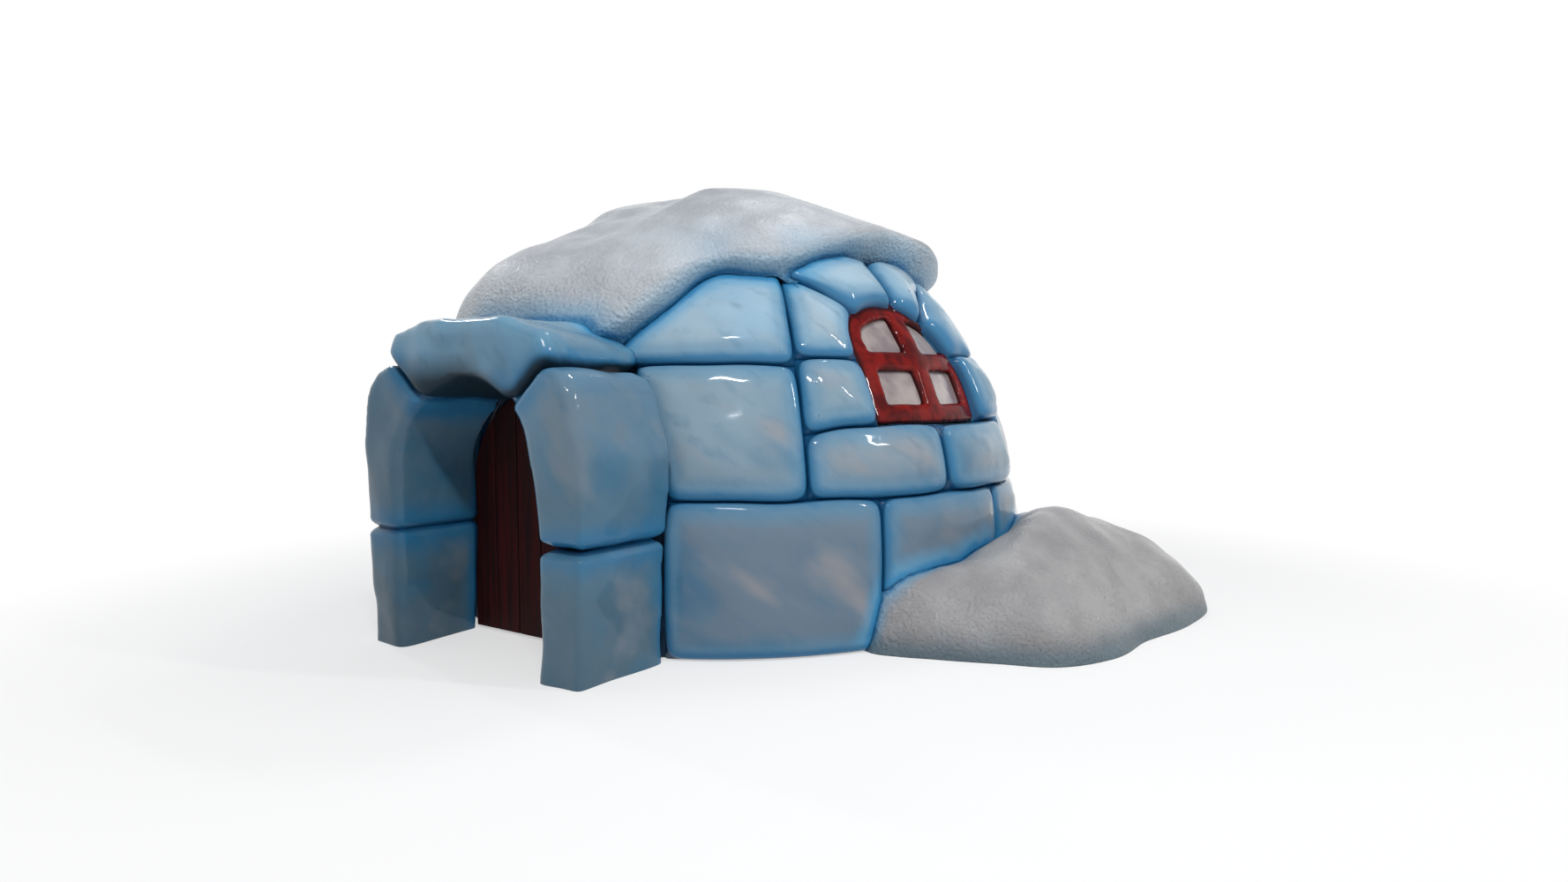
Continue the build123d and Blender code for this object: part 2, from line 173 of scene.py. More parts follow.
def lamp(name, place, aim, width, length, power):
    """A soft white lamp, width by length, that shines at a place."""
    light = bpy.data.lights.new(name, "AREA")
    light.shape = "RECTANGLE"
    light.size = width
    light.size_y = length
    light.energy = power
    made = place_object(name, light)
    made.location = place
    made.rotation_euler = (Vector(aim) - Vector(place)).to_track_quat("-Z", "Y").to_euler()


lamp("key", (2.2, -3.8, 5.2), (0, 0, 0.8), 1.2, 0.12, 140)
lamp("above", (0.1, 1.7, 5.6), (0, -0.5, 1.3), 1.3, 0.15, 38)
lamp("side", (5.0, 0.2, 4.4), (0, 0, 0.8), 0.12, 1.0, 90)
lamp("left", (-4.6, -1.0, 4.8), (0, 0, 0.8), 0.15, 1.0, 40)

# ------------------------------------------------------ dome, base course
# The lowest blocks of the dome: carved foam under a hard clear-coated
# paint, airbrushed dark blue in the grooves between neighbours.
DOME_RADIUS = 1.5
DOME_HEIGHT = 2.04
UPRIGHT = 0.375
WALL = 0.17
# the groove between blocks, the seam at the bottom of it, the rounding of their edges and the
# flat rim inside that
GROOVE, SEAM = 0.034, 0.006
FILLET = 0.045
FLAT_RIM = 0.016
# the rounded edge's rings: how many, how far in from the joint and up from the groove's floor
# they start, and how much they are rubbed
EDGE_STEPS, EDGE_START, EDGE_RISE = 7, 0.004, 0.003
RUBBING = 2.2
# point spacing: along a joint, over the face and over the wall's inside
RING_STEP = 0.012
FACE_STEP, FACE_CLEAR = 0.02, 0.011
SKIN_STEP, SKIN_CLEAR = 0.07, 0.03
RELAXINGS = 8
# how the carver left joints and faces uneven, as waves of noise: (size, seed, amount) each
JOINT_WAVES = ((0.22, 11, 0.010), (0.22, 12, 0.010))
FACE_WAVES = ((0.34, 1, 0.022), (0.12, 2, 0.006))
# how far from the joint a face is fully uneven, fully swollen, and fully proud
FACE_EASE, SWELL_EASE, PROUD_EASE = 0.09, 0.15, 0.02
# the blocks beside the porch are drawn in where they are nearer to the door than BESIDE_PORCH:
# by LEAN_LOW up to the height LEAN_FROM, and by LEAN_MORE more above it, all in degrees
BESIDE_PORCH, BESIDE_WIDTH = 33, 6
LEAN_LOW, LEAN_MORE = 1.0, 8.0
LEAN_FROM, LEAN_OVER = 0.70, 0.47
# the window's middle on the dome and its distance from the axis, and how far round it the
# stones' edges are hooded
WINDOW_AZIMUTH, WINDOW_RUN = 77, 1.34
WINDOW_REACH, WINDOW_SQUASH = 1.27, 0.85
HOOD_REACH, HOOD_FADE, HOOD_SLOPE = 0.52, 0.08, 0.55
# how far the joint under the stone beside the window falls away towards the door, and where
JOINT_FALL = 0.05
FALL_AZIMUTH, FALL_WIDTH = 45, 8
FALL_RUN, FALL_HEIGHT = 0.94, 0.06
NO_JOINT_NEAR = 0.2

# the dome's profile: upright at the foot, then a quarter of an ellipse
UPRIGHT_STEPS, CURVE_STEPS = 399, 1600
turn = np.linspace(0, pi / 2, CURVE_STEPS)
rise_upright = np.linspace(0, UPRIGHT, UPRIGHT_STEPS, endpoint=False)
rise = np.concatenate([rise_upright, UPRIGHT + (DOME_HEIGHT - UPRIGHT) * np.sin(turn)])
reach = np.concatenate([np.full(UPRIGHT_STEPS, DOME_RADIUS), DOME_RADIUS * np.cos(turn)])
climb = np.concatenate([[0], np.cumsum(np.hypot(np.diff(rise), np.diff(reach)))])
lean_out = np.gradient(rise, climb)
lean_up = -np.gradient(reach, climb)


def part_way(value, full):
    """How far a value is on its way from 0 to full: 0 before and 1 beyond."""
    return np.clip(value / full, 0, 1)


def inner_reach(height):
    """How far from the axis the wall's inside is at a height."""
    share = part_way(height - UPRIGHT, DOME_HEIGHT - WALL - UPRIGHT)
    return (DOME_RADIUS - WALL) * np.sqrt(1 - share ** 2)


def round_axis(azimuth, out, up):
    """Vectors that point out from the axis and up, at azimuths measured from the porch."""
    return np.stack([out * np.sin(azimuth), -out * np.cos(azimuth), up], 1)


def on_dome(azimuth, run, out):
    """Points at an azimuth, a run up the dome's side and a distance out from it."""
    around = np.interp(run, climb, reach) + out * np.interp(run, climb, lean_out)
    up = np.interp(run, climb, rise) + out * np.interp(run, climb, lean_up)
    return round_axis(azimuth, around, np.maximum(up, 0)) + np.array(AXIS)


def place_on_dome(points):
    """Azimuth and run of points near the dome's face."""
    azimuth = np.arctan2(points[:, 0] - AXIS.x, -(points[:, 1] - AXIS.y))
    around = np.hypot(points[:, 0] - AXIS.x, points[:, 1] - AXIS.y)
    gap = (around[:, None] - reach) ** 2 + (points[:, 2][:, None] - rise) ** 2
    return azimuth, climb[gap.argmin(1)]


def outer_outline(name):
    """The closed outline of a CAD block's outer face, as azimuth and run."""
    mesh = nodes[name].data
    first_at = {}
    merged = [first_at.setdefault(tuple(round(c, 4) for c in v.co), v.index) for v in mesh.vertices]
    points = np.array([v.co[:] for v in mesh.vertices])
    azimuth, run = place_on_dome(points)
    out_way = round_axis(azimuth, np.interp(run, climb, lean_out), np.interp(run, climb, lean_up))
    off = ((points - on_dome(azimuth, run, 0)) * out_way).sum(1)
    # an edge of the outer face that only one of its faces uses is on its outline
    once = {}
    for face in mesh.polygons:
        corners = list(face.vertices)
        outward = face.normal.dot(Vector(out_way[corners].mean(0)))
        if min(off[corners]) < -0.01 or outward < 0.8:
            continue
        ids = [merged[c] for c in corners]
        for a, b in zip(ids, ids[1:] + ids[:1]):
            if (b, a) in once:
                del once[(b, a)]
            elif a != b:
                once[(a, b)] = True
    follow = dict(once.keys())
    loops = []
    while follow:
        start, after = next(iter(follow.items()))
        loop = [start]
        while after != start and after in follow:
            loop.append(after)
            after = follow.pop(loop[-1])
        follow.pop(start, None)
        loops.append(loop)
    loop = max(loops, key=len)
    return np.unwrap(azimuth[loop]), run[loop]


def resample(line, step):
    """Points at an even step round a closed line."""
    closed = np.vstack([line, line[:1]])
    along = np.concatenate([[0], np.cumsum(np.hypot(*np.diff(closed, axis=0).T))])
    count = max(12, int(round(along[-1] / step)))
    marks = np.arange(count) * along[-1] / count
    return np.stack([np.interp(marks, along, closed[:, 0]), np.interp(marks, along, closed[:, 1])], 1)


def soften(line, times):
    """Evens out the points of a closed line, each towards its two neighbours."""
    for _ in range(times):
        line = (np.roll(line, 1, 0) + 2 * line + np.roll(line, -1, 0)) / 4
    return line


def inset(line, distance):
    """The closed line moved to its left by a distance."""
    way = np.roll(line, -1, 0) - np.roll(line, 1, 0)
    way /= np.maximum(np.hypot(*way.T), 1e-9)[:, None]
    return line + distance * np.stack([-way[:, 1], way[:, 0]], 1)


def inside(points, line):
    """Which points are inside a closed line."""
    x, y = points[:, :1], points[:, 1:]
    x0, y0 = line.T
    x1, y1 = np.roll(line, -1, 0).T
    with np.errstate(divide="ignore", invalid="ignore"):
        hits = ((y0 > y) != (y1 > y)) & (x < (x1 - x0) * (y - y0) / (y1 - y0) + x0)
    return hits.sum(1) % 2 == 1


def wander(place, size, seed, amount):
    """Smooth noise at a place, with lumps of a size, up to an amount either way."""
    return amount * noise.noise(Vector(place) / size + Vector((seed, 3.1 * seed, -1.7 * seed)))


def dents(line):
    """How the hand-cut joints stray from their true lines, as a shift of the outline."""
    shift = np.array([[wander((across, run, 0.0), *wave) for wave in JOINT_WAVES] for across, run in line])
    return shift * part_way(line[:, 1:], 0.05)


def lean_in(run):
    """How many degrees the edges of the blocks beside the porch are drawn in, by their height."""
    height = np.interp(run, climb, rise)
    return LEAN_LOW + LEAN_MORE * part_way(height - LEAN_FROM, LEAN_OVER) ** 1.3


def follow_porch(azimuth, run, side):
    """Draws the blocks beside the porch in behind the rounded shoulders of its piers.
    side is 1 for the blocks on the right of the door and -1 for those on the left."""
    share = part_way(BESIDE_PORCH - np.degrees(azimuth) * side, BESIDE_WIDTH)
    return azimuth - np.radians(side * lean_in(run) * share)


def clear_doorway(azimuth, run, side):
    """Undoes follow_porch, for the inside of the wall, where the open door stands."""
    if not side:
        return azimuth
    from_door = np.degrees(azimuth) * side
    share = lean_in(run) / BESIDE_WIDTH
    moved_back = (from_door + share * BESIDE_PORCH) / (1 + share)
    return np.where(from_door < BESIDE_PORCH, np.radians(side * moved_back), azimuth)


def fill_inside(ring, spacing, clearance):
    """Triangles that fill a closed ring, and the evenly spaced points added inside it."""
    count = len(ring)
    lowest, highest = ring.min(0), ring.max(0)
    columns = np.arange(lowest[0], highest[0], spacing)
    levels = np.arange(lowest[1], highest[1], spacing * 0.866)
    across, up = np.meshgrid(columns, levels)
    across = across + (np.arange(len(levels)) % 2)[:, None] * spacing / 2
    cloud = np.stack([across.ravel(), up.ravel()], 1)
    cloud = cloud[inside(cloud, ring)]
    away = np.sqrt(((cloud[:, None, :] - ring[None]) ** 2).sum(2)).min(1)
    cloud, away = cloud[away > clearance], away[away > clearance]
    edges = [(i, (i + 1) % count) for i in range(count)]
    points = [Vector(p) for p in ring] + [Vector(p) for p in cloud]
    _, _, triangles, kept, _, _ = geometry.delaunay_2d_cdt(points, edges, [], 1, 1e-6)
    index = {new: old[0] for new, old in enumerate(kept) if old}
    return [[index[c] for c in face] for face in triangles if all(c in index for c in face)], cloud, away


def relax(spots, faces, free, times):
    """Evens out the free points of a flat mesh, each towards the middle of its neighbours."""
    pairs = np.array([(a, b) for face in faces for a, b in zip(face, face[1:] + face[:1])])
    pairs = np.unique(np.sort(pairs, 1), axis=0)
    both = np.vstack([pairs, pairs[:, ::-1]])
    degree = np.maximum(np.bincount(both[:, 0], minlength=len(spots)), 1)
    for _ in range(times):
        beside = spots[both[:, 1]]
        middle = np.stack([np.bincount(both[:, 0], beside[:, k], len(spots)) / degree for k in (0, 1)], 1)
        spots[free] = (spots[free] + middle[free]) / 2


def edge_rings(line, middle, corner, hood):
    """Rings from the wall's inside, out through the groove and over the rounded edge: each is
    a closed line, with its level over the dome's face and its distance from the joint."""
    edge = soften(line, corner)
    nothing = np.zeros((len(line), 1))
    across = edge[:, 0] - (radians(WINDOW_AZIMUTH) - middle) * WINDOW_REACH
    from_window = np.hypot(across, (edge[:, 1] - WINDOW_RUN) * WINDOW_SQUASH)
    wide = soften(hood * part_way(HOOD_REACH - from_window, HOOD_FADE)[:, None], 6)
    rings = [(line, nothing - WALL, nothing + NO_JOINT_NEAR),
             (line, nothing - GROOVE - SEAM - wide * 0.5, nothing),
             (inset(edge, EDGE_START / 2), nothing - GROOVE - wide * 0.5, nothing)]
    for step in range(1, EDGE_STEPS + 1):
        share = step / EDGE_STEPS
        distance = EDGE_START + FILLET * (1 - cos(share * pi / 2)) + wide * step / EDGE_STEPS
        level = (EDGE_RISE - GROOVE) * (1 - sin(share * pi / 2)) - wide * HOOD_SLOPE * (1 - share)
        rubbed = soften(edge, step * 2 + round(RUBBING * (distance.max() / RING_STEP) ** 2))
        rings.append((inset(rubbed, distance), level, distance * FILLET / (FILLET + wide)))
    last = FILLET + wide + FLAT_RIM
    rubbed = soften(edge, round(RUBBING * (last.max() / RING_STEP) ** 2))
    rings.append((inset(rubbed, last), nothing, nothing + FILLET + FLAT_RIM))
    return rings


def lay_flat(rings):
    """A block's mesh, still flat: its points and faces, and each point's level and distance
    from the joint. The face and the wall's inside are filled with even triangles."""
    count = len(rings[0][0])
    faces = []
    for ring in range(len(rings) - 1):
        for i in range(count):
            a, b = ring * count + i, ring * count + (i + 1) % count
            faces.append([a, b, b + count, a + count])
    outer, cloud, away = fill_inside(rings[-1][0], FACE_STEP, FACE_CLEAR)
    face_start = (len(rings) - 1) * count
    faces += [[face_start + c for c in face] for face in outer]
    showing = len(faces)
    inner, inner_cloud, _ = fill_inside(rings[0][0], SKIN_STEP, SKIN_CLEAR)
    shift = face_start + len(cloud)
    faces += [[c if c < count else c + shift for c in face][::-1] for face in inner]
    spots = np.vstack([ring for ring, _, _ in rings] + [cloud, inner_cloud])
    free = np.arange(count * (len(rings) - 3), len(rings) * count + len(cloud))
    relax(spots, faces[:showing], free, RELAXINGS)
    levels = np.concatenate([level[:, 0] for _, level, _ in rings]
                            + [np.zeros(len(cloud)), np.full(len(inner_cloud), -WALL)])
    gap = np.concatenate([distance[:, 0] for _, _, distance in rings]
                         + [FILLET + FLAT_RIM + away, np.full(len(inner_cloud), NO_JOINT_NEAR)])
    return spots, faces, levels, gap


def carve_block(name, paint, proud=0.0, swell=0.010, corner=30, hood=0.0, side=0):
    """A rounded block in place of a CAD one, with a face that the carver left uneven. proud lifts
    the face and swell its middle, corner rounds its corners, and hood its edges near the window.
    side is 1 on the right of the porch, -1 on its left and 0 elsewhere."""
    azimuth, run = outer_outline(name)
    azimuth = follow_porch(azimuth, run, side)
    across, up = (np.degrees(azimuth) - FALL_AZIMUTH) / FALL_WIDTH, (run - FALL_RUN) / FALL_HEIGHT
    run = run - JOINT_FALL * np.exp(-(across ** 2 + up ** 2))
    middle = (azimuth.min() + azimuth.max()) / 2
    line = np.stack([(azimuth - middle) * np.interp(run, climb, reach), run], 1)
    ahead = np.roll(line, -1, 0)
    if (line[:, 0] * ahead[:, 1] - ahead[:, 0] * line[:, 1]).sum() < 0:
        line = line[::-1]
    line = resample(line, RING_STEP)
    line = line + dents(np.stack([middle * DOME_RADIUS + line[:, 0], line[:, 1]], 1))
    spots, faces, levels, gap = lay_flat(edge_rings(line, middle, corner, hood))

    run = np.maximum(spots[:, 1], 0)
    azimuth = middle + spots[:, 0] / np.interp(run, climb, reach)
    true_face = on_dome(azimuth, run, 0)
    rough = np.array([sum(wander(p, *wave) for wave in FACE_WAVES) for p in true_face])
    carved = part_way(gap, FACE_EASE) ** 1.5 * (rough + swell * part_way(gap, SWELL_EASE))
    stand_out = proud * np.clip(gap / PROUD_EASE + 0.4, 0, 1)
    back = levels < 0.01 - WALL
    places = on_dome(azimuth, run, levels + np.where(back, 0, stand_out + carved))
    height = np.interp(run, climb, rise)
    skin = clear_doorway(azimuth, run, side)
    places[back] = (round_axis(skin, inner_reach(height), height) + np.array(AXIS))[back]
    block = new_piece(name + "_carved", places, faces)
    up_wall = round_axis(azimuth, -np.interp(run, climb, lean_up), np.interp(run, climb, lean_out))
    mark(block, "gap", gap)
    mark(block, "down", -(read_mesh(block.data, "normal") * up_wall).sum(1))
    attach(block, "shell")
    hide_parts(name)
    wear(block, paint)
    blocks.append(block)


def shade_smooth(mesh):
    """Shades all faces of a mesh smooth."""
    mesh.polygons.foreach_set("use_smooth", [True] * len(mesh.polygons))


def new_piece(name, points, faces):
    """A smooth piece from its points and faces."""
    mesh = bpy.data.meshes.new(name)
    mesh.from_pydata([tuple(p) for p in points], [], faces)
    mesh.update()
    shade_smooth(mesh)
    return place_object(name, mesh)


def read_mesh(mesh, what):
    """Vertex places or normals as an array."""
    values = np.zeros(len(mesh.vertices) * 3, np.float32)
    if what == "normal":
        mesh.vertex_normals.foreach_get("vector", values)
    else:
        mesh.vertices.foreach_get(what, values)
    return values.reshape(-1, 3).astype(float)


def mark(piece, name, values):
    """Stores a value at each point of a piece, for its paint to read."""
    kept = piece.data.attributes.new(name, "FLOAT", "POINT")
    kept.data.foreach_set("value", np.asarray(values, np.float32))


def surface_of(pieces):
    """The pieces' surfaces together, for measuring distances to them."""
    points, faces = [], []
    for piece in pieces:
        first = len(points)
        points += [v.co[:] for v in piece.data.vertices]
        faces += [[first + c for c in p.vertices] for p in piece.data.polygons]
    return BVHTree.FromPolygons(points, faces)


def distances(piece, tree, most):
    """How far each point of a piece is from a surface, up to a most."""
    found = [tree.find_nearest(v.co, most)[3] for v in piece.data.vertices]
    return [most if d is None else d for d in found]


def rgb(text):
    """Linear colour of a hex code."""
    parts = [int(text[place:place + 2], 16) / 255 for place in (0, 2, 4)]
    linear = [p / 12.92 if p < 0.04045 else ((p + 0.055) / 1.055) ** 2.4 for p in parts]
    return (*linear, 1)


def wear(piece, finish):
    """Puts one finish on a piece."""
    piece.data.materials.clear()
    piece.data.materials.append(finish)


def streaks(paint, size, stretch, seed, detail=2.0):
    """Soft noise drawn out along a slope that falls to the right as one faces the wall."""
    turned = paint.node("Mapping", {"vector_type": "TEXTURE"}, Vector=paint.node("TexCoord", output=3),
                        Location=(seed, 2.3 * seed, seed), Rotation=(0, radians(38), radians(37)),
                        Scale=(size * stretch, size, size))
    return paint.node("TexNoise", Vector=turned, Scale=1.0, Detail=detail, Roughness=0.5)


def speckle(paint, scale, detail):
    """Soft noise, with so many lumps to the metre."""
    return paint.node("TexNoise", Vector=paint.node("TexCoord", output=3), Scale=scale, Detail=detail)


def marked(paint, name):
    """The value that mark stored on a piece under a name."""
    return paint.node("Attribute", {"attribute_name": name}, output=2)


def mix(paint, share, first, second):
    """The first colour, with a share of the second over it."""
    return paint.node("Mix", {"data_type": "RGBA"}, output=2, Factor=share, _6=first, _7=second)


# the airbrushed blues: beside the joints, in them, beside the snow and against it
JOINT_MIST, JOINT_BLUE, JOINT_CORE = rgb("4a86a8"), rgb("266f9a"), rgb("114a72")
SNOW_MIST, SNOW_EDGE = rgb("569dc4"), rgb("2b7fb0")
# the lighter blue that the blue patches turn to higher up, a painted light
SKY_BLUE = rgb("6aa2c4")
# the colour of the painted shade under the porch's arch and on the left pier's front
PAINTED_SHADE_COLOUR = rgb("101d25")


def block_material(name, low, middle, top, blue, warm, misty=1.0):
    """Clear-coated block paint: cloudy greys and blues, dark in the grooves and beside the snow. Painted
    shade darkens it towards the floor, on down-facing edges and under the porch's arch, and painted light
    lightens it towards the top.
    """
    made, shader, paint = material(name)
    height = paint.node("SeparateXYZ", output=2, Vector=paint.node("TexCoord", output=3))
    cloud = streaks(paint, 0.26, 2.0, 1.0)
    veil = streaks(paint, 0.21, 2.4, 5.0)
    fine = streaks(paint, 0.06, 3.0, 9.0, 3.0)
    calm = 1.0 - height.ramp(0.65, 1.3) * 0.65
    # painted shade and light: the colours grade from dark ones near the floor to light ones at the top
    coat = mix(paint, height.ramp(0.45, 0.95), low, middle)
    coat = mix(paint, height.ramp(1.05, 1.45), coat, top)
    # the blue patches lighten higher up, a painted light
    high_blue = mix(paint, height.ramp(0.9, 1.3), blue, SKY_BLUE)
    coat = mix(paint, cloud.ramp(0.46, 0.70) * 0.85 * calm, coat, high_blue)
    coat = mix(paint, veil.ramp(0.50, 0.72) * 0.8 * calm, coat, warm)
    coat = mix(paint, fine.ramp(0.52, 0.75) * 0.3, coat, blue)
    gap, snow, down, deep = [marked(paint, kept) for kept in ("gap", "snow", "down", "deep")]
    # the joints' blue reaches further onto down-facing edges and less onto up-facing ones, a painted shade
    ragged = gap * (1.0 + height.ramp(1.45, 1.6) * 0.9) + (fine - 0.5) * 0.03 - down * 0.025
    beside = snow + (fine - 0.5) * 0.04
    core = paint.math("MAXIMUM", gap.ramp(0.012, 0.002), snow.ramp(0.014, 0.003))
    coat = mix(paint, ragged.ramp(0.12, 0.03) * 0.5 * misty, coat, JOINT_MIST)
    coat = mix(paint, beside.ramp(0.11, 0.03) * 0.65, coat, SNOW_MIST)
    coat = mix(paint, ragged.ramp(0.050, 0.008) * 0.9, coat, JOINT_BLUE)
    coat = mix(paint, beside.ramp(0.045, 0.012) * 0.9, coat, SNOW_EDGE)
    coat = mix(paint, core, coat, JOINT_CORE)
    # painted shade under the porch's arch and on the left pier's front, with less coat there
    coat = mix(paint, deep * 0.93, coat, PAINTED_SHADE_COLOUR)
    pits = paint.node("Bump", Strength=0.4, Distance=0.004, Height=speckle(paint, 22.0, 2.0))
    plug(shader, Base_Color=coat, Normal=pits,
         Roughness=0.42 + fine * 0.15, Coat_Weight=1.0 - deep * 0.8, Coat_Roughness=0.06,
         Coat_IOR=1.3, Specular_IOR_Level=0.1)
    return made


blocks = []
# the low, middle and top colours grade from dark to light up the wall, a painted shade and light
block_paint = block_material("dome block paint", rgb("66798a"), rgb("8199a8"), rgb("9fb9c9"),
                             blue=rgb("446f8c"), warm=rgb("929194"))
for number in range(1, 10):
    carve_block("base_block_%d" % number, block_paint, side={1: 1, 9: -1}.get(number, 0))

# ---------------------------------------------------- dome, middle course
# The course above, level with the window's sill and sides, in the same
# paint. Its joints stagger with those below.
for number in range(1, 7):
    carve_block("middle_block_%d" % number, block_paint, side={1: 1, 6: -1}.get(number, 0))
carve_block("sill_block_1", block_paint, swell=0.016)
carve_block("sill_block_2", block_paint, proud=0.012, swell=0.024)
carve_block("jamb_stone_front", block_paint, swell=0.016)
carve_block("jamb_stone_rear", block_paint, proud=0.03, swell=0.02, hood=0.02)

# ----------------------------------------------------- dome, upper course
# The blocks that lean in under the snow, the stone on the window's
# shoulder, and the crown that closes the dome.
for number in range(1, 6):
    carve_block("upper_block_%d" % number, block_paint, side={1: 1, 5: -1}.get(number, 0))
carve_block("haunch_stone", block_paint, swell=0.016)
wear(nodes["crown"], block_paint)

# ------------------------------------------------------------ arch stones
# Three chunky stones over the window that stand out like a hood, with
# flat cut faces and wide bevels, glued into the wall.
for name in ("arch_stone_front", "arch_stone_top", "arch_stone_rear"):
    carve_block(name, block_paint, proud=0.03, corner=14, hood=0.045)

# ----------------------------------------------------------------- porch
# Two big soft blocks to each pier and one thick lintel over them, carved
# and painted as the dome is, and set down in front of its doorway.
PASSAGE_HALF = 0.436
PORCH = ("pier_lower_right", "pier_upper_right", "pier_lower_left", "pier_upper_left", "porch_lintel")
PORCH_VOXEL, PORCH_PUFF = 0.012, 0.012
PIER_RUBS, LINTEL_RUBS = 16, 34
PORCH_WAVES = ((0.36, 4, 0.026), (0.13, 5, 0.006))
# where the piers end behind, except within this of the passage's middle, and how far their
# feet run on below the floor before they are sawn off
PIER_END, PIER_INSIDE = -1.37, 0.30
FOOT_BELOW = 0.12
# the joint in each pier: its height, its middle out from the passage's side, and its rounding
WAIST, PIER_MIDDLE, WAIST_ROUND = 0.5, 0.11, 0.042
# where the lintel's foot rests on a pier, inner and outer end: (out from the passage's side, height)
SEAT = np.array([(-0.101, 1.058), (0.061, 1.191)])
SEAT_ROUND, JOINT_REACH = 0.036, 0.30
LEFT_LIFT = 0.042
# the lintel's rear ends narrow from here back to the dome
LINTEL_END = 1.20
TAPER_START, TAPER_LENGTH = 1.70, 0.30
# the painted shade under the arch: its top and how far right it goes, and the share of it that
# the left pier's front gets
SHADE_TOP, SHADE_RIGHT, LEFT_SHADE = 1.25, 0.16, 0.34


def move_vertices(mesh, places):
    """Puts a mesh's vertices at new places."""
    mesh.vertices.foreach_set("co", places.astype(np.float32).ravel())
    mesh.update()


def make_uneven(mesh, waves, share=1.0):
    """Pushes a mesh's vertices in and out by waves of noise."""
    places, normals = read_mesh(mesh, "co"), read_mesh(mesh, "normal")
    push = np.array([sum(wander(p, *wave) for wave in waves) for p in places]) * share
    move_vertices(mesh, places + normals * push[:, None])


def reshape(mesh, change):
    """Moves a mesh's vertices by a function of their places."""
    places = read_mesh(mesh, "co")
    change(places)
    move_vertices(mesh, places)


def soft_copy(name, voxel, rubs, puff, changes=()):
    """A remeshed copy of a CAD piece with its edges rubbed round."""
    piece = place_object(name + "_rounded", nodes[name].data.copy())
    for change in changes:
        reshape(piece.data, change)
    remesh = piece.modifiers.new("remesh", "REMESH")
    remesh.mode = "VOXEL"
    remesh.voxel_size = voxel
    rub = piece.modifiers.new("rub", "SMOOTH")
    rub.factor = 0.5
    rub.iterations = rubs
    swell = piece.modifiers.new("swell", "DISPLACE")
    swell.mid_level = 0
    swell.strength = puff
    bpy.context.view_layer.update()
    done = bpy.data.meshes.new_from_object(piece.evaluated_get(bpy.context.evaluated_depsgraph_get()))
    piece.modifiers.clear()
    piece.data = done
    done.name = name + "_rounded"
    return piece


def saw(mesh, place, way):
    """Cuts away what lies beyond a plane and closes the cut."""
    whole = mesh.verts[:] + mesh.edges[:] + mesh.faces[:]
    done = bmesh.ops.bisect_plane(mesh, geom=whole, plane_co=place, plane_no=way, clear_outer=True)
    rim = [part for part in done["geom_cut"] if isinstance(part, bmesh.types.BMEdge)]
    bmesh.ops.holes_fill(mesh, edges=rim)


def lengthen_foot(places):
    """Runs a pier's foot on below the floor, so that its edges stay sharp where it is sawn off."""
    places[places[:, 2] < 0.001, 2] = -FOOT_BELOW


def taper(places):
    """Draws the lintel's two rear ends to a blunt point against the dome."""
    across = places[:, 0] - AXIS.x
    depth = part_way(places[:, 1] - AXIS.y + TAPER_START, TAPER_LENGTH) ** 1.3
    side = part_way(np.abs(across) - 0.22, 0.12)
    places[:, 2] -= np.maximum(places[:, 2] - LINTEL_END, 0) * 0.45 * depth * side
    places[:, 0] -= np.sign(across) * 0.09 * depth * part_way(np.abs(across) - 0.25, 0.2)


def lift(places):
    """Raises the porch's left end a little, with the top of the pier under it."""
    left = part_way(-0.15 - (places[:, 0] - AXIS.x), 0.3)
    places[:, 2] += LEFT_LIFT * left * part_way(places[:, 2] - WAIST, 0.5)
    places[:, 0] -= 0.25 * LEFT_LIFT * left * part_way(places[:, 2] - WAIST, 0.5)


def ease(places, spot, way, along, radius):
    """Rounds a block's rim at a joint: the nearer the joint's plane, the further it is drawn in.
    The plane goes through a spot and faces out of the block, and along is across its width."""
    depth = -((places - spot) @ way)
    near = (depth < radius) & (np.abs((places - spot) @ along) < JOINT_REACH)
    rim = places[near]
    share = np.clip(1 - depth[near] / radius, 0, 0.93)
    drawn = radius * (1 - np.sqrt(1 - share ** 2))
    for side in (along, np.array([0.0, 1.0, 0.0])):
        off = rim @ side
        middle, half = (off.max() + off.min()) / 2, (off.max() - off.min()) / 2
        places[near] -= np.outer((off - middle) * drawn / half, side)


def stand_clear(places):
    """Ends the piers short of the dome, so that a dark groove is left between."""
    depth = places[:, 1] - AXIS.y
    beside = np.abs(places[:, 0] - AXIS.x) > PIER_INSIDE
    places[:, 1] -= np.maximum(depth - PIER_END, 0) * 0.8 * beside
